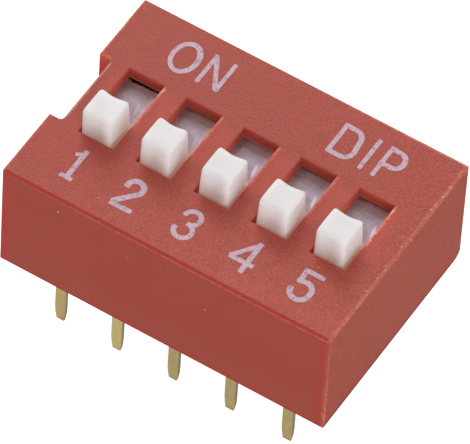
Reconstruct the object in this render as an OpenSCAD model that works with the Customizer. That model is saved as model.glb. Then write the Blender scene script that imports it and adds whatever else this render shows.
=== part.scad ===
// Five-way slide switch in a dual-in-line package, millimetres, +Z up.
// X runs along the row of switches from the first to the last, Y from the OFF side to the ON side,
// and the origin is on the seating plane, in the middle of the package.

/* [Row of switches] */
// Distance from one switch to the next
pitch = 2.54; // [2.3:0.01:3]
// Distance between the two rows of terminals
row_spacing = 7.62; // [7.3:0.01:7.9]
// Distance that a slider moves from its OFF stop to its ON stop
travel = 2.04; // [1.6:0.01:2.3]

/* [Housing] */
// Width of the housing across the row
housing_w = 9.88; // [9.6:0.01:11]
// Height of the housing above the seating plane
housing_h = 5.355; // [5:0.005:7]
// Distance from the centre of an outer switch to the end of the housing
end_margin = 2.095; // [2:0.005:3.2]
// Thickness of the two end walls
end_wall = 0.9; // [0.7:0.01:1.2]
// Thickness of the roof that the slots pass through
roof_t = 0.55; // [0.4:0.01:0.8]
// Radius of the upper edge along the OFF side
edge_r = 0.12; // [0.05:0.01:0.2]
// Radius of the other upper edges and of the upright ones
corner_r = 0.04; // [0.02:0.01:0.1]
// Radius of the lower edge along the ON side
heel_r = 0.45; // [0.2:0.01:0.6]
// Radius of the rims of the slots
rim_r = 0.05; // [0.02:0.01:0.1]
// Room between a terminal's leg and the long wall outside it
leg_room = 0.18; // [0.1:0.01:0.4]

/* [Notch] */
// Depth of the notch that marks the end of the first switch
notch_depth = 0.56; // [0.2:0.01:0.6]
// Width of the notch
notch_w = 3.46; // [1.5:0.01:5]
// Radius of the notch's two inner corners
notch_r = 0.15; // [0.05:0.01:0.18]

/* [Knobs] */
// Width of a knob along the row
knob_w = 1.26; // [0.9:0.01:1.4]
// Length of a knob along its travel
knob_l = 1.56; // [1.2:0.01:1.9]
// Height of a knob above the roof
knob_h = 1.13; // [0.3:0.005:2]
// Radius of a knob's upright corners
knob_corner_r = 0.18; // [0.1:0.01:0.2]
// Depth of the finger grip scooped out of a knob's front and back faces
grip_depth = 0.07; // [0.05:0.01:0.15]
// Radius of the top edges along a knob's two flat sides
knob_edge_r = 0.04; // [0.02:0.01:0.1]
// Radius of the top edges over its two grips
knob_roll_r = 0.2; // [0.1:0.01:0.24]

/* [Sliders] */
// Thickness of the plate that closes the slot under the roof
plate_t = 0.45; // [0.3:0.01:0.6]
// Width of that plate
plate_w = 2.1; // [1.9:0.01:2.16]
// Distance that the plate falls short of its slot's far end when the knob is at a stop
plate_short = 0.04; // [0:0.01:0.1]
// Width of the box under the plate that carries the contact
carrier_w = 1.5; // [1.3:0.01:1.6]
// Wall of that box
carrier_wall = 0.2; // [0.15:0.01:0.3]

/* [Base] */
// Height of the channel floor above the seating plane
floor_h = 2.3; // [1.8:0.01:2.5]
// Radius of the beads that snap the base into the housing
bead_r = 0.14; // [0.08:0.01:0.16]
// Length of a bead
bead_l = 1.1; // [0.6:0.01:1.4]
// Height of the beads above the seating plane
bead_z = 0.8; // [0.6:0.01:1]
// Depth of the pockets that core out the underside
core_depth = 1.2; // [0.4:0.01:1.4]
// Width of a pocket along the row
core_w = 1.5; // [1:0.01:1.7]
// Length of a pocket across the row
core_l = 2.3; // [1.4:0.01:2.5]
// Radius of a pocket's corners
core_r = 0.2; // [0.1:0.01:0.4]
// Width of the spine left between the two rows of pockets
spine_w = 0.8; // [0.6:0.01:1.2]

/* [Terminals] */
// Thickness of the terminal strip
strip_t = 0.1; // [0.08:0.01:0.25]
// Width of the pad in the channel floor
pad_w = 1.0; // [0.7:0.01:1.1]
// Width of the leg below the shoulder
pin_w = 0.5; // [0.4:0.01:0.6]
// Length of the leg below the seating plane
pin_l = 3.5; // [2.5:0.01:4]
// Width of the leg's tip
tip_w = 0.34; // [0.15:0.01:0.36]
// Length of the leg's bowed taper
tip_l = 0.8; // [0.3:0.01:1.2]
// Gap between the two pads of one switch
pad_gap = 0.65; // [0.4:0.01:0.8]
// Distance that the front pad stops short of the middle
front_pad_end = 0.3; // [0.2:0.01:0.4]
// Radius of the bend from pad to leg, at mid thickness
bend_r = 0.25; // [0.2:0.01:0.3]
// Height of the shoulder where a leg narrows
shoulder_z = 0.6; // [0.3:0.01:0.8]
// Height of the slope from the pad's width to the pin's
shoulder_rise = 0.2; // [0.05:0.01:0.3]

/* [Contacts] */
// Thickness of the contact spring
spring_t = 0.1; // [0.06:0.01:0.14]
// Height of the contact spring over the pads
spring_h = 0.8; // [0.6:0.01:1]
// Radius of the rounded feet that slide on the pads, at mid thickness
foot_r = 0.24; // [0.18:0.01:0.28]
// Angle at which a foot's tail ends, up from level
foot_lift = 35; // [20:1:50]

/* [Clearances] */
// Clearance between fixed pieces
seat_gap = 0.03; // [0.02:0.005:0.05]
// Clearance round the moving pieces
slide_gap = 0.05; // [0.03:0.005:0.08]
// Clearance between a knob and the end of its slot at a stop
stop_gap = 0.01; // [0.01:0.005:0.03]
// Clearance between a knob and the sides of its slot
knob_side_gap = 0.15; // [0.08:0.01:0.25]

/* [Hidden] */
$fn = 64;
positions = 5;

eps = 0.01;
cut = 1;

// How far each slider rests short of its OFF stop, the play that its detent leaves, and how far to
// one side it lies in its clearance, as each terminal does in its seat.
rest_play = [0, 0.04, 0.07, 0.04, 0.04];
rest_sway = slide_gap * [-0.6, -0.6, 0.2, 0.4, -0.2];
seat_sway = seat_gap * [0.8, 0.7, 0.5, 0.5, 0.7];

// Housing.
row_l = (positions - 1) * pitch;
housing_l = row_l + 2 * end_margin;
cavity_l = housing_l - 2 * end_wall;
cavity_w = row_spacing + strip_t + 2 * leg_room;
roof_z = housing_h - roof_t;

// Slots and sliders.
slot_w = knob_w + 2 * knob_side_gap;
slot_l = knob_l + travel + 2 * stop_gap;
knob_top = housing_h + knob_h;
plate_top = roof_z - slide_gap / 2;
plate_z = plate_top - plate_t;
plate_l = slot_l + travel - 2 * plate_short;
rib_w = pitch - plate_w - 2 * slide_gap;

// Contact spring: two feet, one travel apart, so that each foot takes the other's place.
foot_spacing = travel;
foot_z = floor_h + seat_gap + foot_r + spring_t / 2;
crown_z = floor_h + seat_gap + spring_h - spring_t / 2;
spring_w = carrier_w - 2 * carrier_wall - 2 * seat_gap;
spring_half = foot_spacing / 2 + (foot_r + spring_t / 2) * cos(foot_lift) + seat_gap;
arc_lap = 1;

// Carrier box and the channel in which it runs.
carrier_l = 2 * (spring_half + carrier_wall);
carrier_z = floor_h + slide_gap;
pocket_z = crown_z + spring_t / 2 + seat_gap;
channel_w = carrier_w + 2 * slide_gap;
channel_l = carrier_l + travel + 2 * slide_gap;
wall_top = plate_z - slide_gap / 2;

// Base.
base_l = cavity_l - 2 * seat_gap;
base_w = cavity_w - 2 * seat_gap;
bead_x = [for (side = [-1, 1]) side * 1.5 * pitch];

// Terminals.
leg_y = row_spacing / 2;
pad_mid_z = floor_h - strip_t / 2;
back_pad_end = front_pad_end + pad_gap;

function switch_x(i) = (i - (positions + 1) / 2) * pitch;
function rest_x(i) = switch_x(i) + rest_sway[i - 1];
function rest_y(i) = -travel / 2 + rest_play[i - 1];

// Radius of the large arc that touches two small arcs from outside. The small arcs have radius r and
// centres a to each side, and the large arc's crest lies drop beyond the line through their centres.
function bridging_r(a, r, drop) = (a * a + drop * drop - r * r) / (2 * (r + drop));

// Rectangle with round corners, centred.
module soft_rect(w, h, r) {
    square([w, h - 2 * r], center = true);
    square([w - 2 * r, h], center = true);
    for (x = [-1, 1], y = [-1, 1])
        translate([x * (w / 2 - r), y * (h / 2 - r)]) circle(r);
}

// Rectangle that stands on the X axis, with its upper corners rounded to the two radii.
module soft_top(w, h, left, right) {
    translate([left - w / 2, 0]) square([w - left - right, h]);
    for (side = [0, 1])
        mirror([side, 0]) {
            r = side == 1 ? left : right;
            square([w / 2, h - r]);
            translate([w / 2 - r, h - r]) circle(r);
        }
}

// Opening that stands on the X axis and widens over its last r to a mouth with round lips.
module flared(w, h, r) {
    difference() {
        union() {
            translate([-w / 2, 0]) square([w, h + cut]);
            translate([-w / 2 - r, h - r]) square([w + 2 * r, r + cut]);
        }
        for (x = [-1, 1])
            translate([x * (w / 2 + r), h - r]) circle(r);
    }
}

// Ring sector from angle a0 to a1, less than half a turn, r at mid thickness.
module arc_strip(r, t, a0, a1) {
    far = 4 * (r + t);
    mid = (a0 + a1) / 2;
    intersection() {
        difference() {
            circle(r + t / 2);
            circle(r - t / 2);
        }
        polygon([[0, 0], far * [cos(a0), sin(a0)], 2 * far * [cos(mid), sin(mid)], far * [cos(a1), sin(a1)]]);
    }
}

// A profile drawn in X and Z, drawn out along Y, and one drawn in Y and Z, drawn out along X.
module along_y(l) { rotate([90, 0, 0]) linear_extrude(l, center = true) children(); }
module along_x(l) { rotate([90, 0, 90]) linear_extrude(l, center = true) children(); }

// Block with round upright corners and round top edges, standing on z = 0. side_r is the radius of
// the two top edges that run along Y, and front_r and back_r of those that run along X.
module soft_block(l, w, h, upright_r, side_r, front_r, back_r) {
    intersection() {
        linear_extrude(h) soft_rect(l, w, upright_r);
        along_y(w + cut) soft_top(l, h, side_r, side_r);
        along_x(l + cut) soft_top(w, h, front_r, back_r);
    }
}

// Opening through a roof whose top is at z = h, with a round rim.
module rimmed_opening(l, w, h, r) {
    intersection() {
        along_y(w + 2 * r + cut) flared(l, h, r);
        along_x(l + 2 * r + cut) flared(w, h, r);
    }
}

// Box given by its size in X and Y and its two levels in Z.
module slab(l, w, z0, z1) {
    translate([-l / 2, -w / 2, z0]) cube([l, w, z1 - z0]);
}

// The corner that the round lower edge leaves off the housing, in Y and Z.
module heel() {
    translate([housing_w / 2 - heel_r, 0])
        difference() {
            translate([0, -cut]) square([heel_r + cut, heel_r + cut]);
            translate([0, heel_r]) circle(heel_r);
        }
}

// Notch seen from above, its mouth on the Y axis: round inner corners and round lips.
module notch() {
    soft_rect(2 * notch_depth, notch_w, notch_r);
    translate([notch_depth - notch_r, 0]) rotate(90) flared(notch_w, notch_depth - notch_r, corner_r);
}

// Moulded shell, open below: slots in the roof, guide ribs between the plates, beads for the base.
module cover() {
    color("#ad4a3e") {
        difference() {
            soft_block(housing_l, housing_w, housing_h, corner_r, corner_r, edge_r, corner_r);
            slab(cavity_l, cavity_w, -cut, roof_z);
            for (i = [1:positions])
                translate([switch_x(i), 0, roof_z - eps]) rimmed_opening(slot_w, slot_l, roof_t + eps, rim_r);
            translate([-housing_l / 2, 0, -cut]) linear_extrude(housing_h + 2 * cut) notch();
            along_x(housing_l + cut) heel();
        }
        for (i = [1:positions - 1])
            translate([switch_x(i) + pitch / 2, 0, 0])
                slab(rib_w, cavity_w + 2 * eps, plate_z, roof_z + eps);
        for (x = bead_x, side = [-1, 1])
            translate([x, side * cavity_w / 2, bead_z])
                rotate([0, 90, 0]) cylinder(r = bead_r, h = bead_l, center = true);
    }
}

// Insulating base: one channel per switch, seats for the strips, grooves for the beads and pockets
// that keep its walls even.
module base() {
    color("#232326")
        difference() {
            slab(base_l, base_w, 0, wall_top);
            for (i = [1:positions])
                translate([switch_x(i), 0, 0]) {
                    slab(channel_w, channel_l, floor_h, wall_top + cut);
                    on_side(-1) strip_seat(-front_pad_end);
                    on_side(1) strip_seat(back_pad_end);
                    for (side = [-1, 1])
                        translate([0, side * (spine_w + core_l) / 2, -cut])
                            linear_extrude(core_depth + cut) soft_rect(core_w, core_l, core_r);
                }
            for (x = bead_x, side = [-1, 1])
                translate([x, side * cavity_w / 2, bead_z])
                    rotate([0, 90, 0])
                        cylinder(r = bead_r + seat_gap, h = bead_l + 2 * seat_gap, center = true);
        }
}

// Edge view of a terminal strip, in Y and Z: pad, bend and leg. reach is the pad's inner end.
module strip_edge(reach, t) {
    bend_y = leg_y - bend_r;
    bend_z = pad_mid_z - bend_r;
    translate([reach, pad_mid_z - t / 2]) square([bend_y - reach, t]);
    translate([bend_y, bend_z]) arc_strip(bend_r, t, 0, 90);
    translate([leg_y - t / 2, -pin_l]) square([t, bend_z + pin_l]);
}

// Face view of a leg, in X and Z, from the level given up: pin, shoulder and the pad's full width,
// with gap added to each side.
module leg_face(gap, level) {
    half = pin_w / 2 + gap;
    wide = pad_w / 2 + gap;
    right = [[half, level], [half, shoulder_z], [wide, shoulder_z + shoulder_rise], [wide, floor_h + gap]];
    left = [for (k = [len(right) - 1:-1:0]) [-right[k].x, right[k].y]];
    polygon(concat(right, left));
}

// Face view of a leg's end: both sides curve in from the pin's width to the tip's.
module leg_end() {
    inset = (pin_w - tip_w) / 2;
    r = (tip_l * tip_l + inset * inset) / (2 * inset);
    translate([0, tip_l - pin_l])
        intersection() {
            translate([pin_w / 2 - r, 0]) circle(r);
            translate([r - pin_w / 2, 0]) circle(r);
            translate([-pin_w, -tip_l]) square([2 * pin_w, tip_l]);
        }
}

// Terminal strip bent from flat stock, at the back. reach is the pad's inner end.
module strip(reach) {
    intersection() {
        along_x(pad_w) strip_edge(reach, strip_t);
        along_y(2 * row_spacing) {
            leg_face(0, tip_l - pin_l);
            leg_end();
        }
    }
}

// The room that the base leaves for that strip, open to the long wall.
module strip_seat(reach) {
    t = strip_t + 2 * seat_gap;
    intersection() {
        union() {
            along_x(pad_w + 2 * seat_gap) strip_edge(reach - seat_gap, t);
            translate([0, leg_y + cut / 2, 0]) slab(2 * pad_w, cut, -cut, floor_h + seat_gap);
        }
        along_y(2 * row_spacing) leg_face(seat_gap, -pin_l);
    }
}

// What is drawn for the back row, turned to the side asked for: -1 in front, 1 at the back.
module on_side(side) { mirror([0, side < 0 ? 1 : 0, 0]) children(); }

module terminal(i, side) {
    color("#c4ae6c")
        translate([switch_x(i) + seat_sway[i - 1], 0, 0])
            on_side(side) strip(side < 0 ? -front_pad_end : back_pad_end);
}

// Knob with round corners and top edges, and a grip scooped out of its front and back faces.
module knob() {
    a = knob_w / 2 - knob_corner_r;
    r = bridging_r(a, knob_corner_r, grip_depth - knob_corner_r);
    h = knob_top - plate_top + eps;
    translate([0, 0, plate_top - eps])
        difference() {
            soft_block(knob_w, knob_l, h, knob_corner_r, knob_edge_r, knob_roll_r, knob_roll_r);
            for (side = [-1, 1])
                translate([0, side * (knob_l / 2 - grip_depth + r), 0])
                    rotate_extrude() intersection() {
                        flared(2 * r, h, knob_roll_r);
                        square([2 * r, h + cut]);
                    }
        }
}

// Slider: knob, plate that keeps the slot closed, and the box that carries the contact.
module slider(i) {
    color("#ecebe7")
        translate([rest_x(i), rest_y(i), 0]) {
            knob();
            slab(plate_w, plate_l, plate_z, plate_top);
            difference() {
                slab(carrier_w, carrier_l, carrier_z, plate_z + eps);
                slab(carrier_w - 2 * carrier_wall, carrier_l - 2 * carrier_wall, carrier_z - cut, pocket_z);
            }
        }
}

// Contact spring: a bowed strip whose crown bears on the slider and whose feet slide on the pads.
module contact(i) {
    bow_r = bridging_r(foot_spacing / 2, foot_r, crown_z - foot_z);
    bow_z = crown_z - bow_r;
    lean = atan2(foot_z - bow_z, foot_spacing / 2);
    color("#d9b65a")
        translate([rest_x(i), rest_y(i), 0])
            along_x(spring_w) {
                translate([0, bow_z]) arc_strip(bow_r, spring_t, lean - arc_lap, 180 - lean + arc_lap);
                for (side = [0, 1])
                    mirror([side, 0]) translate([foot_spacing / 2, foot_z])
                        arc_strip(foot_r, spring_t, lean + 180, 360 - foot_lift);
            }
}

cover();
base();
for (i = [1:positions]) {
    slider(i);
    contact(i);
    terminal(i, -1);
    terminal(i, 1);
}
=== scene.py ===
import math

import bmesh
import bpy
from mathutils import Matrix, Vector


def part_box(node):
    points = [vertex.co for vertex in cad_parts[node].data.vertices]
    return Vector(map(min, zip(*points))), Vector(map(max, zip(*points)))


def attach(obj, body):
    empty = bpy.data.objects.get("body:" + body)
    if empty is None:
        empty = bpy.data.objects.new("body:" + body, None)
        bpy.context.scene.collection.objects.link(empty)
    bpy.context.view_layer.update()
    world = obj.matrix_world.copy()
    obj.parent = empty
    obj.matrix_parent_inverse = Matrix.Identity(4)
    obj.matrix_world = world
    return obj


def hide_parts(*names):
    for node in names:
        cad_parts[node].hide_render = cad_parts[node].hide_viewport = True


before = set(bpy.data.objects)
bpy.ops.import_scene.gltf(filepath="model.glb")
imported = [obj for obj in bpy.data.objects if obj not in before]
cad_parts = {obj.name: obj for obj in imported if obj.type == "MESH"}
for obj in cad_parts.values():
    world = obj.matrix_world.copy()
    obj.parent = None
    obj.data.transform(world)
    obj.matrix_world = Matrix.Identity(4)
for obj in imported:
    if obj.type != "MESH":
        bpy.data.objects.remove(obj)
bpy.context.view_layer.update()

# Base. A dull black thermoset moulding that closes the housing from below and holds the strips.
# It is moulded in one shot, with cored pockets in its underside, and clicks over four beads.
MM = 0.001


def connect(tree, node, inputs):
    """Fills inputs of a node. Each gets a number, a colour or another node's output."""
    for name, value in inputs.items():
        if isinstance(value, bpy.types.NodeSocket):
            tree.links.new(value, node.inputs[name])
        else:
            node.inputs[name].default_value = value


def add(tree, kind, inputs, **settings):
    """A new shader node."""
    node = tree.nodes.new("ShaderNode" + kind)
    for name, value in settings.items():
        setattr(node, name, value)
    connect(tree, node, inputs)
    return node


def maths(tree, operation, a, b=0.0, c=0.0):
    return add(tree, "Math", {0: a, 1: b, 2: c}, operation=operation).outputs[0]


def product(tree, *factors):
    """The factors multiplied. Of masks, this is where all of them hold."""
    result = factors[0]
    for factor in factors[1:]:
        result = maths(tree, "MULTIPLY", result, factor)
    return result


def between(tree, value, low, high, to_low=0.0, to_high=1.0):
    """Value taken smoothly from the range low..high to to_low..to_high, and held outside it."""
    node = add(
        tree, "MapRange",
        {"Value": value, "From Min": low, "From Max": high, "To Min": to_low, "To Max": to_high},
        interpolation_type="SMOOTHSTEP",
    )
    return node.outputs["Result"]


def spread(tree, mask, low, high):
    """Low where the mask is 0, high where it is 1."""
    return between(tree, mask, 0.0, 1.0, low, high)


def noise(tree, place, scale, detail=2.0, roughness=0.5):
    settings = {"Vector": place, "Scale": scale, "Detail": detail, "Roughness": roughness}
    return add(tree, "TexNoise", settings).outputs


def layered(tree, colour, *layers):
    """The colour with each layer laid over it in turn. A layer is a mask and a colour."""
    for mask, over in layers:
        node = add(tree, "Mix", {0: mask, 6: colour, 7: over}, data_type="RGBA", clamp_factor=True)
        colour = node.outputs[2]
    return colour


def rgb(red, green, blue):
    return (red, green, blue, 1.0)


def millimetres(tree):
    """Where a point lies on its piece, in millimetres."""
    place = add(tree, "TexCoord", {}).outputs["Object"]
    return add(tree, "VectorMath", {0: place, "Scale": 1.0 / MM}, operation="SCALE").outputs[0]


def shared_effect(name, inputs, outputs):
    """A node group with the named inputs and outputs. Returns it with its two end nodes."""
    group = bpy.data.node_groups.new(name, "ShaderNodeTree")
    for direction, sockets in (("INPUT", inputs), ("OUTPUT", outputs)):
        for label, kind in sockets.items():
            group.interface.new_socket(label, in_out=direction, socket_type="NodeSocket" + kind)
    return group, group.nodes.new("NodeGroupInput").outputs, group.nodes.new("NodeGroupOutput")


def use(tree, group, **inputs):
    """A shared effect placed in a material. Returns its outputs."""
    node = tree.nodes.new("ShaderNodeGroup")
    node.node_tree = group
    connect(tree, node, inputs)
    return node.outputs


# Moulded grain: the fine spark-eroded texture of the tool, with coarser clouds behind it.
grain, given, grain_out = shared_effect(
    "moulded_grain",
    {"Place": "Vector", "Grain": "Float", "Cloud": "Float"},
    {"Fine": "Float", "Clouds": "Float"},
)
fine_noise = noise(grain, given["Place"], maths(grain, "DIVIDE", 1.0, given["Grain"]), 1.0)
cloud_noise = noise(grain, given["Place"], maths(grain, "DIVIDE", 1.0, given["Cloud"]), 3.0, 0.6)
connect(grain, grain_out, {
    "Fine": between(grain, fine_noise["Fac"], 0.25, 0.75),
    "Clouds": between(grain, cloud_noise["Fac"], 0.3, 0.7),
})

# Stray specks: rare round dots, each in a cell of its own, and most cells are empty.
specks, given, specks_out = shared_effect(
    "stray_specks",
    {"Place": "Vector", "Cell": "Float", "Share": "Float", "Radius": "Float"},
    {"Mask": "Float"},
)
cell_scale = maths(specks, "DIVIDE", 1.0, given["Cell"])
cells = add(specks, "TexVoronoi", {"Vector": given["Place"], "Scale": cell_scale}).outputs
picked = add(specks, "SeparateColor", {0: cells["Color"]}).outputs[0]
kept = maths(specks, "LESS_THAN", picked, given["Share"])
reach = product(specks, given["Radius"], cell_scale)
dot = between(specks, maths(specks, "DIVIDE", cells["Distance"], reach), 1.0, 0.4)
connect(specks, specks_out, {"Mask": product(specks, dot, kept)})


def finish(name, constants):
    """A new material, its tree and its shader, with the shader's constants set."""
    material = bpy.data.materials.new(name)
    material.use_nodes = True
    tree = material.node_tree
    shader = tree.nodes["Principled BSDF"]
    connect(tree, shader, constants)
    return material, tree, shader


def relief(tree, height, depth_mm):
    """The normal of relief of the given depth, from a height between 0 and 1."""
    bump = add(tree, "Bump", {"Height": height, "Distance": depth_mm * MM, "Strength": 1.0})
    return bump.outputs["Normal"]


def dress(node, material):
    """Gives a CAD node its material."""
    node.data.materials.clear()
    node.data.materials.append(material)


thermoset, tree, shader = finish("black_thermoset", {"IOR": 1.5})
place = millimetres(tree)
texture = use(tree, grain, Place=place, Grain=0.045, Cloud=0.9)
dust = use(tree, specks, Place=place, Cell=0.42, Share=0.25, Radius=0.035)
colour = layered(
    tree, rgb(0.016, 0.016, 0.018),
    (texture["Clouds"], rgb(0.03, 0.029, 0.03)),
    (dust["Mask"], rgb(0.16, 0.15, 0.14)),
)
connect(tree, shader, {
    "Base Color": colour,
    "Roughness": spread(tree, texture["Fine"], 0.42, 0.62),
    "Normal": relief(tree, texture["Fine"], 0.006),
})
dress(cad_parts["base"], thermoset)

# Terminals. Ten strips stamped from half-hard brass, plated with thin gold over nickel and bent
# once. Each is pressed into its seat in the base, and its leg is the pin that is soldered. The
# plating is uneven: the second pin from the left is brighter and the first one is duller.
PITCH = 2.54
PIN_HALF_WIDE = 0.25
PIN_TIP = -3.5
# The darker tone of burred metal, also laid on as painted shade.
BURR_AND_SHADE = rgb(0.36, 0.31, 0.18)


def parts_of(tree, vector):
    node = add(tree, "SeparateXYZ", {0: vector})
    return node.outputs[0], node.outputs[1], node.outputs[2]


def facing(tree):
    """Which way a face looks, along each axis of its piece."""
    return parts_of(tree, add(tree, "TexCoord", {}).outputs["Normal"])


def vectors(tree, operation, a, b):
    return add(tree, "VectorMath", {0: a, 1: b}, operation=operation).outputs[0]


def minus(tree, a, b):
    return maths(tree, "SUBTRACT", a, b)


def size_of(tree, value):
    return maths(tree, "ABSOLUTE", value)


def largest(tree, *values):
    """The largest of the values. Of masks, this is where any of them holds."""
    result = values[0]
    for value in values[1:]:
        result = maths(tree, "MAXIMUM", result, value)
    return result


def nearest_way(tree, x):
    """The middle of the way that x falls in. The ways of the switch repeat on the pitch."""
    return product(tree, maths(tree, "ROUND", maths(tree, "DIVIDE", x, PITCH)), PITCH)


# Drawn metal: long fine lines along the strip, and stains in the plating.
drawn, given, drawn_out = shared_effect(
    "drawn_metal", {"Place": "Vector", "Stretch": "Vector"}, {"Lines": "Float", "Stains": "Float"}
)
line_noise = noise(drawn, vectors(drawn, "MULTIPLY", given["Place"], given["Stretch"]), 1.0)
stain_noise = noise(drawn, given["Place"], 5.0, 3.0)
connect(drawn, drawn_out, {
    "Lines": between(drawn, line_noise["Fac"], 0.3, 0.7),
    "Stains": between(drawn, stain_noise["Fac"], 0.35, 0.65),
})

gilt, tree, shader = finish("dull_gold_plate", {"Metallic": 1.0})
place = millimetres(tree)
east, _, height = parts_of(tree, place)
surface = use(tree, drawn, Place=place, Stretch=(22.0, 22.0, 1.6))
blots = use(tree, grain, Place=place, Grain=0.12, Cloud=0.5)
# Burred edges, the tips and the sheared sides take a darker tone: partly burred and sheared metal, partly
# painted shade on the sides and the tips.
from_middle = size_of(tree, minus(tree, east, nearest_way(tree, east)))
burred_and_shaded = largest(
    tree,
    between(tree, from_middle, PIN_HALF_WIDE - 0.06, PIN_HALF_WIDE - 0.01),
    between(tree, height, PIN_TIP + 0.12, PIN_TIP + 0.04),
)
sheared_and_shaded = between(tree, size_of(tree, facing(tree)[0]), 0.6, 0.9)
second_pin = between(tree, size_of(tree, minus(tree, east, -PITCH)), 0.6, 0.3)
first_pin = between(tree, east, -4.2, -4.5)
colour = layered(
    tree, rgb(0.82, 0.645, 0.27),
    (surface["Stains"], rgb(0.71, 0.565, 0.262)),
    (spread(tree, surface["Lines"], 0.0, 0.5), rgb(0.64, 0.535, 0.27)),
    (product(tree, blots["Fine"], 0.3), rgb(0.86, 0.665, 0.36)),
    (product(tree, second_pin, 0.6), rgb(0.99, 0.83, 0.35)),
    (product(tree, first_pin, 0.6), rgb(0.67, 0.49, 0.20)),
    (product(tree, burred_and_shaded, 0.6), BURR_AND_SHADE),
    (sheared_and_shaded, BURR_AND_SHADE),
)
connect(tree, shader, {
    "Base Color": colour,
    "Roughness": spread(tree, surface["Lines"], 0.36, 0.5),
    "Normal": relief(tree, surface["Lines"], 0.004),
})
for number in range(1, 6):
    for row in ("front", "back"):
        dress(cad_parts[f"terminal_{row}_{number}"], gilt)

# Contacts. Five bowed springs of beryllium copper with bright gold plate, one under each slider.
# The crown bears on the slider and the two curled feet slide from pad to pad.
spring_gold, tree, shader = finish("bright_gold_plate", {"Metallic": 1.0})
surface = use(tree, drawn, Place=millimetres(tree), Stretch=(26.0, 2.0, 2.0))
connect(tree, shader, {
    "Base Color": layered(tree, rgb(0.83, 0.60, 0.24), (surface["Stains"], rgb(0.72, 0.54, 0.25))),
    "Roughness": spread(tree, surface["Lines"], 0.2, 0.34),
    "Normal": relief(tree, surface["Lines"], 0.002),
})
for number in range(1, 6):
    dress(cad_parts[f"contact_{number}"], spring_gold)

# Sliders. Each is one white acetal moulding: the knob that a fingertip pushes, the plate that
# keeps the slot closed, and the open box below that carries the spring. It drops in from below.
ROOF_TOP = 5.355
SLOT_HALF_LONG = 1.81
PLATE_TOP = 4.78
PLATE_THICK = 0.45
PLATE_WIDE = 2.1
PLATE_SOFT = 0.03
BOX_WIDE = 1.5
BOX_LONG = 2.975
BOX_LOW = 2.35
BOX_ROOF = 3.16
BOX_WALL = 0.2
BOX_SUNK = 0.02
KNOB_TOP = 6.485
KNOB_FOOT = PLATE_TOP - 0.03
KNOB_WIDE = 1.287
KNOB_LONG = 1.487
KNOB_LEAN = ((-0.04, -0.02), (-0.035, 0.03), (-0.01, 0.06), (0.0, 0.045), (-0.02, 0.045))

# A knob is a cage of loops that is then subdivided. Each end is hollowed in its middle as a
# finger grip. Roll and drop say how softly the crown runs over into the sides and the ends.
GRIP_DEPTH = 0.09
GRIP_FLAT = 0.14
GRIP_BESIDE = 0.45
GRIP_AT_CROWN = 0.6
SIDE_LOOP = 0.33
END_LOOP = 0.26
FOOT_LOOP = 0.1
ROOF_LOOP = 0.2
CROWN_LOOP = 0.12
SIDE_ROLL = 0.26
END_ROLL = 0.32
SIDE_DROP = 0.068
END_DROP = 0.281
SIDE_DRAFT = 0.01
END_DRAFT = 0.045
CLOSE = 0.005

# The glossy top of a plate: its faint moulding rings, its painted pale ring of light and its narrow
# painted glint, all placed from the middle of the way, and the black line of painted shadow on the first
# plate, placed from the middle of the switch.
RING_X = -0.45
RING_Y = -0.55
RING_WANDER = 0.55
RING_RATE = 34.0
PAINTED_RING_RADIUS = 1.55
GLINT_X = 0.42
GLINT_Y = 0.64
GLINT_TILT = 0.2
GLINT_DRIFT = 0.024
GLINT_HALF_WIDE = 0.085
GLINT_HALF_LONG = 0.40
LINE_LEFT = -5.74
LINE_RIGHT = -4.45
BLACK = rgb(0, 0, 0)


def placed(name, data):
    """A new object in the scene."""
    thing = bpy.data.objects.new(name, data)
    bpy.context.scene.collection.objects.link(thing)
    return thing


def verts_in(geometry):
    return [item for item in geometry if isinstance(item, bmesh.types.BMVert)]


def edges_at(verts):
    """The edges at the vertices, each once and always in the same order."""
    return list(dict.fromkeys(edge for vert in verts for edge in vert.link_edges))


def block(mesh, wide, long, low, high, soften=0.0):
    """A closed block centred on the Z axis, with softened edges."""
    made = bmesh.ops.create_cube(mesh, size=1.0)["verts"]
    bmesh.ops.scale(mesh, vec=(wide, long, high - low), verts=made)
    bmesh.ops.translate(mesh, vec=(0, 0, (low + high) / 2), verts=made)
    if soften:
        bmesh.ops.bevel(
            mesh, geom=edges_at(made), offset=soften, offset_type="OFFSET", affect="EDGES",
            segments=2, profile=0.5, material=-1,
        )
    return made


def in_order(mesh, name):
    """The bmesh as mesh data whose vertices and faces are sorted, so that every run gives the same."""
    verts = sorted(mesh.verts, key=lambda vert: vert.co[:])
    ranks = {vert: rank for rank, vert in enumerate(verts)}
    corners = {}
    for face in mesh.faces:
        around = [ranks[vert] for vert in face.verts]
        first = around.index(min(around))
        corners[face] = around[first:] + around[:first]
    faces = sorted(mesh.faces, key=corners.get)
    data = bpy.data.meshes.new(name)
    data.from_pydata([vert.co for vert in verts], [], [corners[face] for face in faces])
    data.polygons.foreach_set("use_smooth", [face.smooth for face in faces])
    data.polygons.foreach_set("material_index", [face.material_index for face in faces])
    data.update()
    return data


def finished_piece(name, mesh, material_list):
    """Turns a bmesh in millimetres into an object in metres that sits at the origin."""
    bmesh.ops.scale(mesh, vec=(MM, MM, MM), verts=mesh.verts)
    bmesh.ops.recalc_face_normals(mesh, faces=mesh.faces)
    data = in_order(mesh, name)
    mesh.free()
    for material in material_list:
        data.materials.append(material)
    return placed(name, data)


def plus(tree, a, b):
    return maths(tree, "ADD", a, b)


def squares(tree, a, b):
    """The sum of the squares of a and b."""
    return plus(tree, product(tree, a, a), product(tree, b, b))
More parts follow.
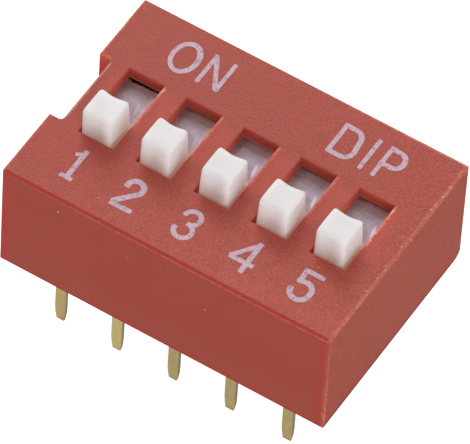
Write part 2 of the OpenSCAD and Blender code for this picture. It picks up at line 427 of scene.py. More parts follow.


# The front of a knob is a little greyer and warmer below its crown. Its foot is painted warmer, and a
# painted glow stands in for light that the acetal passes on, more so inside the slot, where its right side
# gets most.
acetal, tree, shader = finish("white_acetal", {
    "IOR": 1.48, "Emission Strength": 1.0,
    "Subsurface Weight": 1.0, "Subsurface Radius": (1.0, 0.86, 0.8), "Subsurface Scale": 0.0014,
})
place = millimetres(tree)
height = parts_of(tree, place)[2]
facing_x, facing_y, _ = facing(tree)
texture = use(tree, grain, Place=place, Grain=0.06, Cloud=0.7)
greyer_front = product(tree, between(tree, height, 6.15, 5.5), between(tree, facing_y, -0.3, -0.85, 0.3, 1.0))
foot = between(tree, height, ROOF_TOP + 0.10, ROOF_TOP - 0.08)
in_slot = product(
    tree,
    between(tree, height, ROOF_TOP + 0.005, ROOF_TOP - 0.065),
    between(tree, facing_x, 0.3, 0.8, 0.4, 1.0),
)
colour = layered(
    tree, rgb(0.785, 0.78, 0.775),
    (texture["Clouds"], rgb(0.75, 0.745, 0.74)),
    (greyer_front, rgb(0.66, 0.585, 0.563)),
    (product(tree, foot, 0.5), rgb(0.78, 0.66, 0.56)),
)
painted_glow = layered(tree, BLACK, (foot, rgb(0.065, 0.040, 0.032)), (in_slot, rgb(0.125, 0.080, 0.058)))
connect(tree, shader, {
    "Base Color": colour,
    "Roughness": spread(tree, texture["Clouds"], 0.34, 0.42),
    "Emission Color": painted_glow,
    "Normal": relief(tree, texture["Clouds"], 0.004),
})

# The plates are glossier. Their colour is darker than the knob's and pinker: painted shade, and the
# painted pink of the red walls around them. Faint rings run round the knob with a paler painted ring of
# reflected light, and painted shade darkens a plate beside the knob, towards the far end and right under
# the far wall.
plate_skin, tree, shader = finish("plate_skin", {"IOR": 1.48, "Emission Strength": 1.0})
place = millimetres(tree)
east, north, _ = parts_of(tree, place)
way = nearest_way(tree, east)
across = minus(tree, east, way)
texture = use(tree, grain, Place=place, Grain=0.05, Cloud=0.4)
drift = noise(tree, place, 1.3)["Fac"]
wander = product(tree, minus(tree, drift, 0.5), RING_WANDER)
radius = maths(tree, "SQRT", squares(tree, minus(tree, across, RING_X), minus(tree, north, RING_Y)))
radius = plus(tree, radius, wander)
rings = between(tree, maths(tree, "SINE", product(tree, radius, RING_RATE)), 0.2, 1.0)
rings = product(tree, rings, between(tree, drift, 0.4, 0.62))
painted_light_ring = between(tree, size_of(tree, minus(tree, radius, PAINTED_RING_RADIUS)), 0.3, 0.02)
# Painted shade: darker beside the knob, towards the far end and right under the far wall.
shade_by_knob = between(tree, radius, 1.35, 1.0)
from_corner = plus(tree, minus(tree, north, product(tree, across, 0.5)), product(tree, wander, 0.4))
far_end = product(tree, between(tree, from_corner, 0.8, 1.5), between(tree, east, -1.0, 2.0, 0.95, 0.75))
under_wall_shade = between(tree, north, SLOT_HALF_LONG - 0.21, SLOT_HALF_LONG - 0.03)

# A narrow painted glint, the knob's reflection, lies beside each knob, a little tilted and fainter on the
# first two plates.
glint_y = minus(tree, north, GLINT_Y)
glint_x = minus(tree, across, maths(tree, "MULTIPLY_ADD", way, GLINT_DRIFT, GLINT_X))
glint_x = maths(tree, "MULTIPLY_ADD", glint_y, GLINT_TILT, glint_x)
glint_out = squares(
    tree, maths(tree, "DIVIDE", glint_x, GLINT_HALF_WIDE), maths(tree, "DIVIDE", glint_y, GLINT_HALF_LONG)
)
glint = product(tree, between(tree, glint_out, 1.0, 0.1), between(tree, east, -2.0, -0.8, 0.3, 0.9))

# The first plate has a ragged black line by its far end, the shadow of a gap under the wall.
unevenness = minus(tree, noise(tree, place, 5.0, 1.0)["Fac"], 0.5)
uneven_y = maths(tree, "MULTIPLY_ADD", unevenness, 0.12, north)
line_from = between(
    tree, east, LINE_LEFT + 0.04, LINE_LEFT + 0.94, SLOT_HALF_LONG - 0.125, SLOT_HALF_LONG - 0.075
)
black_line = product(
    tree,
    between(tree, minus(tree, uneven_y, line_from), -0.012, 0.014),
    between(tree, east, LINE_LEFT, LINE_LEFT + 0.08),
    between(tree, east, LINE_RIGHT, LINE_RIGHT - 0.10),
)
colour = layered(
    tree, rgb(0.355, 0.245, 0.295),
    (texture["Clouds"], rgb(0.405, 0.295, 0.36)),
    (product(tree, painted_light_ring, 0.52), rgb(0.54, 0.46, 0.59)),
    (product(tree, shade_by_knob, 0.4), rgb(0.29, 0.195, 0.23)),
    (far_end, rgb(0.28, 0.16, 0.168)),
    (under_wall_shade, rgb(0.14, 0.045, 0.038)),
    (product(tree, rings, 0.14), rgb(0.62, 0.55, 0.64)),
    (glint, rgb(0.82, 0.72, 0.83)),
    (black_line, rgb(0.02, 0.003, 0.002)),
)

# A painted glow, standing in for light that the walls and the acetal pass on, lies along the edges of a
# plate: near its far end, right under the far wall, and beside the left and the right wall. None reaches
# the black line.
near_far_end = product(tree, between(tree, north, 1.32, 1.5), between(tree, across, -0.65, -0.2, 0.1, 1.0))
at_far_wall = between(tree, north, SLOT_HALF_LONG - 0.07, SLOT_HALF_LONG - 0.01)
by_left_wall = product(tree, between(tree, across, -0.35, -0.6), between(tree, north, 1.3, 1.15))
by_right_wall = product(tree, between(tree, across, 0.36, 0.60), between(tree, way, -4.0, 3.0, 1.0, 0.5))
painted_glow = layered(
    tree, BLACK,
    (near_far_end, rgb(0.058, 0.037, 0.033)),
    (at_far_wall, rgb(0.11, 0.045, 0.036)),
    (by_left_wall, rgb(0.05, 0.031, 0.027)),
    (by_right_wall, rgb(0.17, 0.05, 0.035)),
    (black_line, BLACK),
)
connect(tree, shader, {
    "Base Color": colour,
    "Roughness": spread(tree, texture["Clouds"], 0.2, 0.32),
    "Emission Color": painted_glow,
    "Normal": relief(tree, rings, 0.003),
})

for number in range(1, 6):
    lowest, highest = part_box(f"slider_{number}")
    centre = (lowest + highest) / 2 / MM
    plate_long = (highest.y - lowest.y) / MM
    slider = bmesh.new()
    block(slider, PLATE_WIDE, plate_long, PLATE_TOP - PLATE_THICK, PLATE_TOP, PLATE_SOFT)
    for face in slider.faces:
        face.material_index = 1
    box = block(slider, BOX_WIDE, BOX_LONG, BOX_LOW, PLATE_TOP - PLATE_THICK + BOX_SUNK)
    mouth = next(f for f in slider.faces if set(f.verts) <= set(box) and f.normal.z < -0.5)
    bmesh.ops.inset_region(slider, faces=[mouth], thickness=BOX_WALL)
    pushed = bmesh.ops.extrude_face_region(slider, geom=[mouth])["geom"]
    bmesh.ops.translate(slider, vec=(0, 0, BOX_ROOF - BOX_LOW), verts=verts_in(pushed))
    bmesh.ops.delete(slider, geom=[mouth], context="FACES")
    for face in slider.faces:
        face.smooth = False

    cage = bmesh.new()
    block(cage, KNOB_WIDE, KNOB_LONG, KNOB_FOOT, KNOB_TOP)
    for axis, offsets in (
        ((1, 0, 0), (SIDE_LOOP - KNOB_WIDE / 2, -GRIP_FLAT, GRIP_FLAT, KNOB_WIDE / 2 - SIDE_LOOP)),
        ((0, 1, 0), (END_LOOP - KNOB_LONG / 2, 0, KNOB_LONG / 2 - END_LOOP)),
        ((0, 0, 1), (KNOB_FOOT + FOOT_LOOP, ROOF_TOP + ROOF_LOOP, KNOB_TOP - CROWN_LOOP)),
    ):
        for offset in offsets:
            bmesh.ops.bisect_plane(
                cage, geom=cage.verts[:] + cage.edges[:] + cage.faces[:],
                plane_co=Vector(axis) * offset, plane_no=axis,
            )
    lean_x, lean_y = KNOB_LEAN[number - 1]
    for vert in cage.verts:
        x, y, z = vert.co
        rise = max(-0.3, (z - ROOF_TOP) / (KNOB_TOP - ROOF_TOP))
        on_end = abs(y) > KNOB_LONG / 2 - CLOSE
        on_side = abs(x) > KNOB_WIDE / 2 - CLOSE
        in_grip = abs(x) < GRIP_FLAT + CLOSE
        crown = z > KNOB_TOP - CLOSE
        shoulder = not crown and z > KNOB_TOP - CROWN_LOOP - CLOSE
        if on_end and not on_side:
            vert.co.y -= math.copysign(GRIP_DEPTH * (1.0 if in_grip else GRIP_BESIDE), y)
        if shoulder:
            drops = [drop for drop, here in ((SIDE_DROP, on_side), (END_DROP, on_end)) if here]
            vert.co.z = KNOB_TOP - sum(drops) / len(drops)
        if crown and abs(abs(y) - (KNOB_LONG / 2 - END_LOOP)) < CLOSE:
            hollow = GRIP_DEPTH * GRIP_AT_CROWN if in_grip else 0.0
            vert.co.y = math.copysign(KNOB_LONG / 2 - END_ROLL - hollow, y)
        if crown and abs(abs(x) - (KNOB_WIDE / 2 - SIDE_LOOP)) < CLOSE:
            vert.co.x = math.copysign(KNOB_WIDE / 2 - SIDE_ROLL, x)
        vert.co.x = vert.co.x * (1.0 + SIDE_DRAFT * (1.0 - 2.0 * rise)) + lean_x * max(0.0, rise)
        vert.co.y = vert.co.y * (1.0 + END_DRAFT * (1.0 - 2.0 * rise)) + lean_y * max(0.0, rise)
    data = bpy.data.meshes.new("cage")
    cage.to_mesh(data)
    cage.free()
    knob = placed("cage", data)
    smooth = knob.modifiers.new("smooth", "SUBSURF")
    smooth.levels = 3
    smooth.render_levels = 3
    shaped = knob.evaluated_get(bpy.context.evaluated_depsgraph_get()).to_mesh()
    start = len(slider.faces)
    slider.from_mesh(shaped)
    slider.faces.ensure_lookup_table()
    for face in slider.faces[start:]:
        face.smooth = True
        face.material_index = 0
    bpy.data.objects.remove(knob)
    bmesh.ops.translate(slider, vec=(centre.x, centre.y, 0), verts=slider.verts)
    piece = finished_piece(f"slider_moulding_{number}", slider, [acetal, plate_skin])
    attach(piece, f"switch_{number}")
    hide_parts(f"slider_{number}")

# Housing. One red glass-filled nylon moulding, open below: matt eroded roof, smoother walls and
# rims that the tool left rounded. The base clicks into it, and handling has worn its right edge.
HALF_LONG = 7.175
HALF_WIDE = 4.94
ROOF_LOW = 4.805
SLOT_HALF_WIDE = 0.78
SLOTS_END = 6.3
NOTCH_FLOOR = -6.615
NOTCH_HALF_WIDE = 1.73
FLASH_HEIGHT = 5.21
FLAT = 0.995
TURNED = 0.9
RAGGED = 0.15


def band(tree, value, middle, reach):
    """1 where value lies at middle, fading to 0 at reach from it."""
    return between(tree, size_of(tree, minus(tree, value, middle)), reach, reach * 0.35)


def contrasted(tree, value, contrast):
    """A value between 0 and 1, drawn away from its middle."""
    return maths(tree, "MULTIPLY_ADD", minus(tree, value, 0.5), contrast, 0.5)


nylon, tree, shader = finish("red_nylon", {
    "IOR": 1.45, "Specular IOR Level": 0.3, "Coat Roughness": 0.3, "Emission Strength": 1.0,
    "Subsurface Weight": 0.3, "Subsurface Radius": (1.0, 0.22, 0.14), "Subsurface Scale": 0.00025,
})
place = millimetres(tree)
east, north, height = parts_of(tree, place)
out_x = size_of(tree, east)
out_y = size_of(tree, north)
facing_x, facing_y, facing_z = facing(tree)
on_roof = between(tree, facing_z, TURNED, FLAT)
on_right = between(tree, facing_x, TURNED, FLAT)
on_front = between(tree, facing_y, -TURNED, -FLAT)
squarest = largest(tree, size_of(tree, facing_x), size_of(tree, facing_y), size_of(tree, facing_z))
on_edge = between(tree, squarest, FLAT, 0.95)
outside = largest(
    tree,
    between(tree, out_y, HALF_WIDE - 0.2, HALF_WIDE - 0.15),
    between(tree, out_x, HALF_LONG - 0.6, HALF_LONG - 0.55),
)

# Fine and coarse grain, the draw marks on the walls, and a shaken place for ragged lines.
texture = use(tree, grain, Place=place, Grain=0.085, Cloud=0.55)
patches = use(tree, grain, Place=place, Grain=0.16, Cloud=1.6)
smears = use(tree, grain, Place=place, Grain=0.3, Cloud=0.9)
streaks = noise(tree, vectors(tree, "MULTIPLY", place, (9.0, 9.0, 0.7)), 1.0)["Fac"]
draw_marks = spread(tree, between(tree, streaks, 0.35, 0.65), 0.45, 1.0)
shake = vectors(tree, "SUBTRACT", noise(tree, place, 7.0)["Color"], (0.5, 0.5, 0.5))
ragged = vectors(tree, "ADD", place, vectors(tree, "MULTIPLY", shake, (RAGGED, RAGGED, RAGGED)))
ragged_x, ragged_y, ragged_z = parts_of(tree, ragged)

# Moulded faces: smooth walls, a grainier roof whose contrast grows to the front and the right,
# and a right end that is browner and patchier, with a dark line along its foot.
wall = layered(
    tree, rgb(0.41, 0.065, 0.045),
    (patches["Clouds"], rgb(0.43, 0.071, 0.050)),
    (product(tree, texture["Fine"], 0.25), rgb(0.47, 0.095, 0.069)),
    (between(tree, height, 2.0, 0.5, 0.0, 0.5), rgb(0.425, 0.086, 0.061)),
)
contrast = between(tree, minus(tree, east, north), -9.0, 9.0, 0.5, 2.1)
nearer = minus(tree, product(tree, east, 0.35), north)
roof = layered(
    tree, rgb(0.437, 0.068, 0.045),
    (texture["Clouds"], rgb(0.465, 0.080, 0.054)),
    (product(tree, contrasted(tree, texture["Fine"], contrast), 0.5), rgb(0.575, 0.142, 0.107)),
    (product(tree, contrasted(tree, patches["Fine"], contrast), 0.28), rgb(0.36, 0.054, 0.038)),
    (between(tree, nearer, 1.5, 7.0, 0.0, 0.15), rgb(0.67, 0.165, 0.105)),
)
right_end = layered(
    tree, rgb(0.325, 0.058, 0.033),
    (texture["Clouds"], rgb(0.415, 0.076, 0.045)),
    (product(tree, smears["Clouds"], 0.8), rgb(0.43, 0.050, 0.032)),
    (product(tree, smears["Fine"], 0.4), rgb(0.27, 0.074, 0.034)),
    (product(tree, patches["Fine"], 0.4), rgb(0.24, 0.046, 0.027)),
    (product(tree, texture["Fine"], 0.4), rgb(0.51, 0.105, 0.070)),
    (between(tree, height, 0.30, 0.15), rgb(0.40, 0.048, 0.036)),
    (between(tree, height, 0.13, 0.08), rgb(0.13, 0.018, 0.017)),
)
colour = layered(
    tree, rgb(0.43, 0.066, 0.046),
    (outside, wall),
    (on_roof, roof),
    (product(tree, on_right, outside), right_end),
)

# The two ends of the front are redder, with faint draw marks, and so is the line along its foot. Painted
# shade darkens it underneath towards both ends.
front_ends = largest(
    tree,
    between(tree, east, 0.495 - HALF_LONG, 0.315 - HALF_LONG),
    between(tree, east, HALF_LONG - 0.435, HALF_LONG - 0.335),
)
front_foot = product(tree, on_front, between(tree, height, 0.13, 0.06))
shade_under_ends = product(
    tree,
    between(tree, height, 0.05, 0.01),
    between(tree, out_x, 3.2, 5.0),
    between(tree, facing_y, -0.2, -0.6),
)
colour = layered(
    tree, colour,
    (product(tree, front_ends, draw_marks, outside, on_front), rgb(0.50, 0.056, 0.042)),
    (front_foot, rgb(0.48, 0.047, 0.036)),
    (shade_under_ends, rgb(0.16, 0.02, 0.02)),
)

# Rounded edges are redder. The two upright ones at the front left and the back right are darkened with
# painted shade.
shaded_uprights = between(tree, product(tree, facing_x, facing_y), 0.1, 0.35)
colour = layered(
    tree, colour,
    (product(tree, on_edge, outside), rgb(0.46, 0.040, 0.029)),
    (shaded_uprights, rgb(0.24, 0.03, 0.028)),
)

# The parting line: a thin paler flash under the rounded front edge, broken here and there.
flash = product(
    tree,
    band(tree, ragged_z, FLASH_HEIGHT, 0.062), on_front, outside,
    between(tree, patches["Fine"], 0.1, 0.6, 0.3, 1.0),
    between(tree, east, -6.5, -3.5, 0.25, 1.0),
)
colour = layered(tree, colour, (flash, rgb(0.56, 0.135, 0.100)))

# Wear along the roof's right edge and the front-right upright: a thin orange line, with paler
# dots and scuffs where the skin has gone. The roof's left and back edges show fainter lines.
edge_x = minus(tree, ragged_x, HALF_LONG - 0.03)
edge_y = plus(tree, ragged_y, HALF_WIDE)
edge_z = minus(tree, ragged_z, ROOF_TOP - 0.01)
from_edge = maths(tree, "SQRT", squares(tree, edge_x, edge_z))
worn = product(
    tree, between(tree, from_edge, 0.14, 0.03), between(tree, patches["Fine"], 0.2, 0.8, 0.45, 1.0)
)
dots = use(tree, specks, Place=ragged, Cell=0.14, Share=0.6, Radius=0.055)["Mask"]
dotted = product(
    tree, dots, between(tree, from_edge, 0.19, 0.06), between(tree, north, -3.5, 1.5, 0.45, 0.85)
)
scuffs = use(tree, specks, Place=place, Cell=0.2, Share=0.35, Radius=0.045)["Mask"]
scuffed = product(
    tree, scuffs, between(tree, from_edge, 0.7, 0.1), between(tree, north, -3.5, 1.5, 0.45, 0.9)
)
upright = product(
    tree,
    between(tree, size_of(tree, edge_x), 0.16, 0.04),
    between(tree, edge_y, 0.18, 0.04),
    between(tree, height, 5.3, 0.5, 0.35, 0.9),
    between(tree, texture["Clouds"], 0.1, 0.9, 0.45, 1.0),
)
along_roof = band(tree, ragged_z, ROOF_TOP, 0.10)
left_line = product(
    tree,
    band(tree, ragged_x, -HALF_LONG, 0.10), along_roof,
    between(tree, patches["Fine"], 0.2, 0.8, 0.4, 1.0),
)
back_line = product(
    tree,
    band(tree, ragged_y, HALF_WIDE - 0.01, 0.12), along_roof,
    between(tree, patches["Fine"], 0.25, 0.75, 0.3, 1.0),
    between(tree, east, 0.0, 5.5, 0.1, 1.0),
)
colour = layered(
    tree, colour,
    (worn, rgb(0.61, 0.175, 0.10)),
    (dotted, rgb(0.86, 0.44, 0.35)),
    (scuffed, rgb(0.78, 0.34, 0.25)),
    (upright, rgb(0.55, 0.13, 0.09)),
    (product(tree, upright, dots), rgb(0.82, 0.38, 0.30)),
    (left_line, rgb(0.70, 0.23, 0.14)),
    (back_line, rgb(0.72, 0.26, 0.17)),
)

# The strips of roof between the slots are redder, most of all beside a slot's right rim. That rim is
# painted pale as a highlight, the far corner of the notch gets a painted highlight too, and the rim of the
# notch is pale.
way = nearest_way(tree, east)
across = minus(tree, ragged_x, way)
off_strip = minus(tree, across, 1.2)
off_strip = minus(tree, off_strip, nearest_way(tree, off_strip))
strip = product(
    tree,
    band(tree, off_strip, 0.0, 0.9), on_roof,
    between(tree, north, -1.0, -0.1),
    between(tree, north, SLOT_HALF_LONG - 0.01, 1.0),
    between(tree, out_x, 6.5, 5.9),
)
by_slot = product(
    tree,
    between(tree, out_y, SLOT_HALF_LONG - 0.01, SLOT_HALF_LONG - 0.11),
    between(tree, out_x, SLOTS_END, SLOTS_END - 0.1),
)
beside_rim = product(
    tree, band(tree, across, SLOT_HALF_WIDE + 0.2, 0.2), by_slot, on_roof, between(tree, north, -0.8, -0.3)
)
# Painted highlight along the right rim of each slot.
rim = product(
    tree,
    band(tree, across, SLOT_HALF_WIDE + 0.045, 0.105), by_slot,
    between(tree, height, ROOF_TOP - 0.08, ROOF_TOP - 0.03),
    between(tree, north, -0.6, -0.3),
    between(tree, size_of(tree, way), 3.0, 5.0, 0.45, 0.85),
    between(tree, patches["Fine"], 0.2, 0.8, 0.35, 0.95),
)
notch_rim = product(
    tree,
    band(tree, ragged_x, NOTCH_FLOOR + 0.025, 0.08), on_roof,
    between(tree, out_y, NOTCH_HALF_WIDE - 0.08, NOTCH_HALF_WIDE - 0.18),
)
# Painted highlight on the far corner of the notch.
notch_corner = product(
    tree,
    band(tree, ragged_y, NOTCH_HALF_WIDE + 0.07, 0.12),
    between(tree, east, NOTCH_FLOOR - 0.005, NOTCH_FLOOR - 0.085),
    between(tree, height, 5.0, 5.2),
)
colour = layered(
    tree, colour,
    (product(tree, strip, 0.7), rgb(0.62, 0.108, 0.075)),
    (product(tree, beside_rim, 0.7), rgb(0.56, 0.082, 0.045)),
    (rim, rgb(0.72, 0.32, 0.25)),
    (product(tree, notch_rim, 0.9), rgb(0.72, 0.26, 0.175)),
    (product(tree, notch_corner, 0.8), rgb(0.66, 0.13, 0.07)),
)

# The left rims of the slots have a few dark marks.
rim_marks = product(
    tree,
    on_edge,
    between(tree, out_y, SLOT_HALF_LONG + 0.14, SLOT_HALF_LONG + 0.04),
    between(tree, height, 5.1, 5.2),
    between(tree, patches["Fine"], 0.45, 0.8),
    between(tree, facing_x, -0.1, 0.1),
)
colour = layered(tree, colour, (product(tree, rim_marks, 0.6), rgb(0.30, 0.032, 0.024)))

# Pale nicks, each where it was knocked: a place, and how far it reaches along each axis. They
# are on the roof, on the right rims of the first and the last slot, and three on the front.
FRONT_FACE = -4.99
NICKS = (
    (-3.48, -4.06, ROOF_TOP, 0.045, 0.035, 0.05), (-3.915, -2.577, ROOF_TOP, 0.045, 0.045, 0.05),
    (-3.06, -2.02, ROOF_TOP, 0.03, 0.03, 0.05), (5.03, -2.27, ROOF_TOP, 0.03, 0.03, 0.05),
    (5.86, -3.05, ROOF_TOP, 0.035, 0.03, 0.05), (6.43, -3.34, ROOF_TOP, 0.035, 0.03, 0.05),
    (5.89, -2.75, ROOF_TOP, 0.03, 0.03, 0.05), (-4.25, 1.53, ROOF_TOP, 0.10, 0.15, 0.13),
    (-4.31, 1.36, ROOF_TOP, 0.05, 0.16, 0.1), (-4.34, -0.16, ROOF_TOP, 0.07, 0.13, 0.13),
    (5.90, 1.50, ROOF_TOP, 0.10, 0.18, 0.12), (5.90, 0.15, ROOF_TOP, 0.05, 0.22, 0.1),
    (5.90, -0.10, ROOF_TOP, 0.06, 0.07, 0.1), (5.87, -0.57, ROOF_TOP, 0.05, 0.1, 0.1),
    (1.83, FRONT_FACE, 3.34, 0.07, 0.1, 0.05), (-4.7, FRONT_FACE, 4.57, 0.06, 0.1, 0.05),
    (-1.59, FRONT_FACE, 4.02, 0.06, 0.1, 0.06),
)
nicked = 0.0
for *middle, reach_x, reach_y, reach_z in NICKS:
    away = vectors(tree, "DIVIDE", vectors(tree, "SUBTRACT", ragged, middle), (reach_x, reach_y, reach_z))
    away = add(tree, "VectorMath", {0: away}, operation="LENGTH").outputs["Value"]
    nicked = largest(tree, nicked, between(tree, away, 1.0, 0.45))
nicked = product(tree, nicked, between(tree, texture["Fine"], 0.1, 0.8, 0.4, 1.0))

# Lint all over, and paler flecks on the front.
lint = use(tree, specks, Place=place, Cell=0.5, Share=0.3, Radius=0.035)["Mask"]
flecks = use(tree, specks, Place=ragged, Cell=0.28, Share=0.4, Radius=0.036)["Mask"]
flecks = product(tree, flecks, on_front, outside, between(tree, texture["Clouds"], 0.2, 0.8, 0.15, 0.5))
colour = layered(
    tree, colour,
    (nicked, rgb(0.86, 0.52, 0.46)),
    (product(tree, lint, 0.4), rgb(0.68, 0.26, 0.20)),
    (flecks, rgb(0.66, 0.22, 0.17)),
)

# A painted glow stands in for light that the thin nylon passes on: it shows on the walls of the slots,
# where the ones that look right get most, along their feet and rims, most of all the right rims, and on
# the far wall of the notch.
inside = minus(tree, 1.0, largest(tree, outside, on_roof))
inside = product(tree, inside, between(tree, height, ROOF_LOW - 0.305, ROOF_LOW - 0.105))
slot_wall = product(tree, inside, between(tree, height, 4.95, 5.33, 0.25, 1.0))
lit_wall = product(
    tree,
    inside,
    between(tree, facing_x, 0.3, 0.8),
    between(tree, north, 1.6, 0.75),
    between(tree, north, -1.6, -1.1),
)
wall_foot = product(tree, inside, between(tree, height, ROOF_LOW + 0.195, ROOF_LOW + 0.035))
slot_rim = product(tree, on_edge, inside)
right_rim = product(
    tree,
    slot_rim,
    between(tree, facing_x, -0.2, -0.6),
    between(tree, east, 1.0, -2.0, 0.4, 1.0),
    between(tree, north, -0.7, -0.2),
)
notch_wall = product(
    tree,
    between(tree, facing_y, -0.3, -0.8),
    between(tree, out_y, NOTCH_HALF_WIDE + 0.57, NOTCH_HALF_WIDE + 0.37),
    between(tree, east, NOTCH_FLOOR + 0.115, NOTCH_FLOOR + 0.015),
    spread(tree, patches["Fine"], 0.8, 1.15),
)
painted_glow = layered(
    tree, BLACK,
    (slot_wall, rgb(0.07, 0.012, 0.009)),
    (lit_wall, rgb(0.16, 0.034, 0.020)),
    (wall_foot, rgb(0.07, 0.020, 0.015)),
    (product(tree, slot_rim, 0.5), rgb(0.14, 0.05, 0.04)),
    (right_rim, rgb(0.30, 0.09, 0.06)),
    (notch_wall, rgb(0.160, 0.024, 0.018)),
)
eroded = product(tree, texture["Fine"], spread(tree, on_roof, 0.3, 1.0))
connect(tree, shader, {
    "Base Color": colour,
    "Roughness": spread(tree, on_roof, 0.6, 0.5),
    "Coat Weight": product(tree, on_edge, 0.4),
    "Emission Color": painted_glow,
    "Normal": relief(tree, eroded, 0.012),
})
dress(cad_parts["cover"], nylon)

# Print. ON, DIP and the switch numbers, stamped on the roof in one thin coat of lilac ink. The
# strokes were drawn with one blunt nib, so the ends are soft and the coat is pricked with holes.
INK_LOW = ROOF_TOP - 0.006
INK_HIGH = ROOF_TOP + 0.008
NIB = 0.205
NIB_SOFT = 0.22
ARC_STEP = 9


def thickened(mesh):
    """A flat drawing made a closed solid, from just inside the roof to the top of the ink."""
    bmesh.ops.translate(mesh, vec=(0, 0, INK_LOW), verts=mesh.verts)
    raised = bmesh.ops.extrude_face_region(mesh, geom=mesh.faces[:], use_keep_orig=True)["geom"]
    bmesh.ops.translate(mesh, vec=(0, 0, INK_HIGH - INK_LOW), verts=verts_in(raised))
    bmesh.ops.recalc_face_normals(mesh, faces=mesh.faces)
    return mesh


def edge_in(geometry):
    return next(item for item in geometry if isinstance(item, bmesh.types.BMEdge))


def stroke(start, heading, moves, nib=NIB):
    """One inked stroke as a closed flat solid. A move is a length, or a pair of radius and turn."""
    mesh = bmesh.new()
    ahead = math.radians(heading)
    at = Vector((*start, 0.0))
    side = Vector((-math.sin(ahead), math.cos(ahead), 0.0)) * nib / 2
    edge = mesh.edges.new([mesh.verts.new(at + side), mesh.verts.new(at - side)])
    for move in moves:
        if isinstance(move, tuple):
            radius, turn = move
            side = Vector((-math.sin(ahead), math.cos(ahead), 0.0))
            centre = at + side * math.copysign(radius, turn)
            spun = bmesh.ops.spin(
                mesh, geom=[*edge.verts, edge], cent=centre, axis=(0, 0, 1), angle=math.radians(turn),
                steps=max(2, round(abs(turn) / ARC_STEP)), use_merge=False,
            )
            edge = edge_in(spun["geom_last"])
            at = centre + Matrix.Rotation(math.radians(turn), 3, "Z") @ (at - centre)
            ahead += math.radians(turn)
        else:
            pulled = bmesh.ops.extrude_edge_only(mesh, edges=[edge])["geom"]
            step = Vector((math.cos(ahead), math.sin(ahead), 0.0)) * move
            bmesh.ops.translate(mesh, vec=step, verts=verts_in(pulled))
            edge = edge_in(pulled)
            at += step
    bmesh.ops.remove_doubles(mesh, verts=mesh.verts, dist=1e-5)
    ends = [vert for vert in mesh.verts if len(vert.link_edges) == 2]
    bmesh.ops.bevel(
        mesh, geom=ends, offset=nib * NIB_SOFT, offset_type="OFFSET", affect="VERTICES",
        segments=3, profile=0.5, material=-1,
    )
    return thickened(mesh)


def ring(centre, half_wide, half_high, nib, drift):
    """A closed oval stroke, whose inner line drifts off the middle."""
    mesh = bmesh.new()
    loops = []
    for grown, shift in ((nib / 2, (0.0, 0.0)), (-nib / 2, drift)):
        loop = bmesh.ops.create_circle(mesh, cap_ends=False, segments=64, radius=1.0)["verts"]
        bmesh.ops.scale(mesh, vec=(half_wide + grown, half_high + grown, 1.0), verts=loop)
        bmesh.ops.translate(mesh, vec=(centre[0] + shift[0], centre[1] + shift[1], 0.0), verts=loop)
        loops += edges_at(loop)
    bmesh.ops.bridge_loops(mesh, edges=loops)
    return thickened(mesh)


# The marks in turn: O, N, D, I and P along the back, then 1, 2, 3, 4 and 5 along the front.
GLYPHS = (
    (ring((-4.385, 3.39), 0.505, 0.72, 0.21, (-0.02, -0.015)),),
    (
        stroke((-3.434, 2.62), 90, (1.56,), 0.175),
        stroke((-2.608, 2.62), 90, (1.56,), 0.175),
        stroke((-3.42, 4.11), -61.5, (1.62,), 0.19),
    ),
    (
        stroke((2.38, 2.55), 90, (1.59,), 0.185),
        stroke((2.30, 4.035), 0, (0.49, (0.41, -83), 0.60, (0.39, -97), 0.56), 0.21),
    ),
    (stroke((3.80, 2.53), 90, (1.63,), 0.18),),
    (
        stroke((4.37, 2.51), 90, (1.63,), 0.175),
        stroke((4.29, 4.03), 0, (0.45, (0.365, -82), 0.075, (0.365, -98), 0.49), 0.215),
    ),
    (
        stroke((-5.02, -3.97), 90, (1.53,)),
        stroke((-4.99, -2.645), 206, (0.37,), 0.165),
        stroke((-5.32, -3.91), 0, (0.55,), 0.19),
    ),
    (
        stroke((-2.925, -3.05), 90, (0.13, (0.325, -221), 1.03), 0.235),
        stroke((-3.08, -3.965), 0, (0.96,), 0.215),
    ),
    (
        stroke((-0.395, -2.97), 90, (0.04, (0.325, -270), 0.06)),
        stroke((-0.13, -3.25), 0, (0.05, (0.355, -281))),
    ),
    (
        stroke((2.70, -4.09), 90, (1.61,)),
        stroke((2.71, -2.59), 233.9, (1.26,), 0.19),
        stroke((1.95, -3.60), 0, (1.05,)),
    ),
    (
        stroke((4.63, -2.61), 0, (0.88,)),
        stroke((4.75, -3.28), 90, (0.76,)),
        stroke((4.79, -3.18), 38, ((0.38, -128), 0.125, (0.38, -190)), 0.225),
    ),
)

# The strokes of one mark are united, so that each mark is one solid.
print_mesh = bmesh.new()
for glyph in GLYPHS:
    inked = []
    for drawing in glyph:
        data = bpy.data.meshes.new("drawing")
        drawing.to_mesh(data)
        drawing.free()
        inked.append(placed("drawing", data))
    for other in inked[1:]:
        joined = inked[0].modifiers.new("joined", "BOOLEAN")
        joined.operation = "UNION"
        joined.solver = "EXACT"
        joined.object = other
    whole = inked[0].evaluated_get(bpy.context.evaluated_depsgraph_get()).to_mesh()
    print_mesh.from_mesh(whole)
    for used in inked:
        bpy.data.objects.remove(used)

ink, tree, shader = finish("lilac_ink", {"Roughness": 0.6})
coat = use(tree, grain, Place=millimetres(tree), Grain=0.045, Cloud=0.16)
thick = between(tree, coat["Fine"], 0.2, 0.9)
pinholes = between(tree, coat["Clouds"], 0.72, 0.92)
colour = layered(
    tree, rgb(0.57, 0.375, 0.455),
    (thick, rgb(0.71, 0.53, 0.625)),
    (product(tree, pinholes, 0.7), rgb(0.42, 0.17, 0.21)),
)
connect(tree, shader, {"Base Color": colour, "Normal": relief(tree, coat["Fine"], 0.004)})
lettering = finished_piece("print_on_roof", print_mesh, [ink])
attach(lettering, "housing")

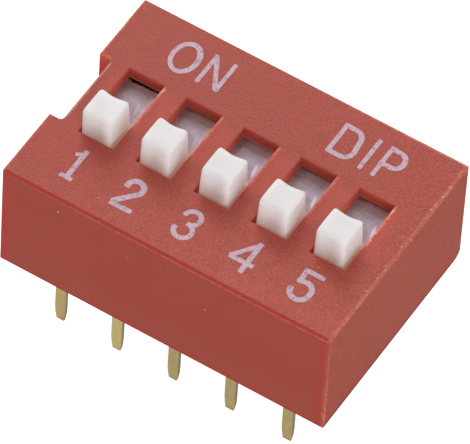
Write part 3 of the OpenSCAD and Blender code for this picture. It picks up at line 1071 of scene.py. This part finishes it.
# Table. A plain sheet of white card that the pins stand on, laid flat and far wider than is seen.
# It throws light back up at the walls, which mirror it as a soft grey. From above it looks clean
# white, and from below it is open, so that the underside of the switch shows.
TABLE_REACH = 1500.0
sheet = bmesh.new()
bmesh.ops.create_grid(
    sheet, x_segments=1, y_segments=1, size=TABLE_REACH, matrix=Matrix.Translation((0, 0, PIN_TIP))
)
white_sheet, tree, shader = finish("white_sheet", {"Roughness": 0.9, "Emission Strength": 1.0})
fibres = use(tree, grain, Place=millimetres(tree), Grain=0.4, Cloud=30.0)["Clouds"]
rays = add(tree, "LightPath", {}).outputs
glow = layered(
    tree, BLACK,
    (rays["Is Glossy Ray"], rgb(0.25, 0.25, 0.25)),
    (rays["Is Camera Ray"], rgb(0.9, 0.9, 0.9)),
)
connect(tree, shader, {
    "Base Color": layered(tree, rgb(0.49, 0.49, 0.49), (fibres, rgb(0.51, 0.51, 0.51))),
    "Emission Color": glow,
    "Alpha": minus(tree, 1.0, add(tree, "NewGeometry", {}).outputs["Backfacing"]),
})
table = finished_piece("table", sheet, [white_sheet])

# Studio. An even white surround and one softbox, high behind the left shoulder of the switch. A
# low bounce card in front and to the right lifts the two walls that are turned to the camera.
SURROUND = 0.49
LAMP_SIZE = 0.2


def area_lamp(name, at, watts):
    """A square lamp that is aimed at the switch."""
    lamp = bpy.data.lights.new(name, "AREA")
    lamp.shape = "SQUARE"
    lamp.size = LAMP_SIZE
    lamp.energy = watts
    stand = placed(name, lamp)
    stand.location = at
    stand.rotation_euler = (-Vector(at)).to_track_quat("-Z", "Y").to_euler()


studio = bpy.data.worlds.new("studio")
studio.use_nodes = True
surround = studio.node_tree.nodes["Background"]
connect(studio.node_tree, surround, {"Color": rgb(1, 1, 1), "Strength": SURROUND})
bpy.context.scene.world = studio
bpy.context.scene.view_settings.view_transform = "Standard"
area_lamp("softbox", (-0.17, 0.22, 0.2), 0.585)
area_lamp("bounce_card", (0.22, -0.18, 0.06), 0.56)

# Camera. A long lens on a high stand, in front of the row of knobs and to its right. It is rolled
# a few degrees, and its axis passes about a millimetre over the middle of the switch.
AZIMUTH = math.radians(28.9521)
ELEVATION = math.radians(52.2006)
ROLL = math.radians(3.9829)
DISTANCE = 0.305519
SHIFT_RIGHT = 0.0001789
SHIFT_UP = 0.001256
back = Vector((
    math.sin(AZIMUTH) * math.cos(ELEVATION),
    -math.cos(AZIMUTH) * math.cos(ELEVATION),
    math.sin(ELEVATION),
))
level = Vector((math.cos(AZIMUTH), math.sin(AZIMUTH), 0.0))
right = math.cos(ROLL) * level + math.sin(ROLL) * back.cross(level)
up = back.cross(right)
eye = SHIFT_RIGHT * right + SHIFT_UP * up + DISTANCE * back
lens = bpy.data.cameras.new("camera")
lens.sensor_width = 36.0
lens.lens = 619.3
lens.clip_start = 0.01
lens.clip_end = 10.0
camera = placed("camera", lens)
camera.matrix_world = Matrix.Translation(eye) @ Matrix((right, up, back)).transposed().to_4x4()
bpy.context.scene.camera = camera
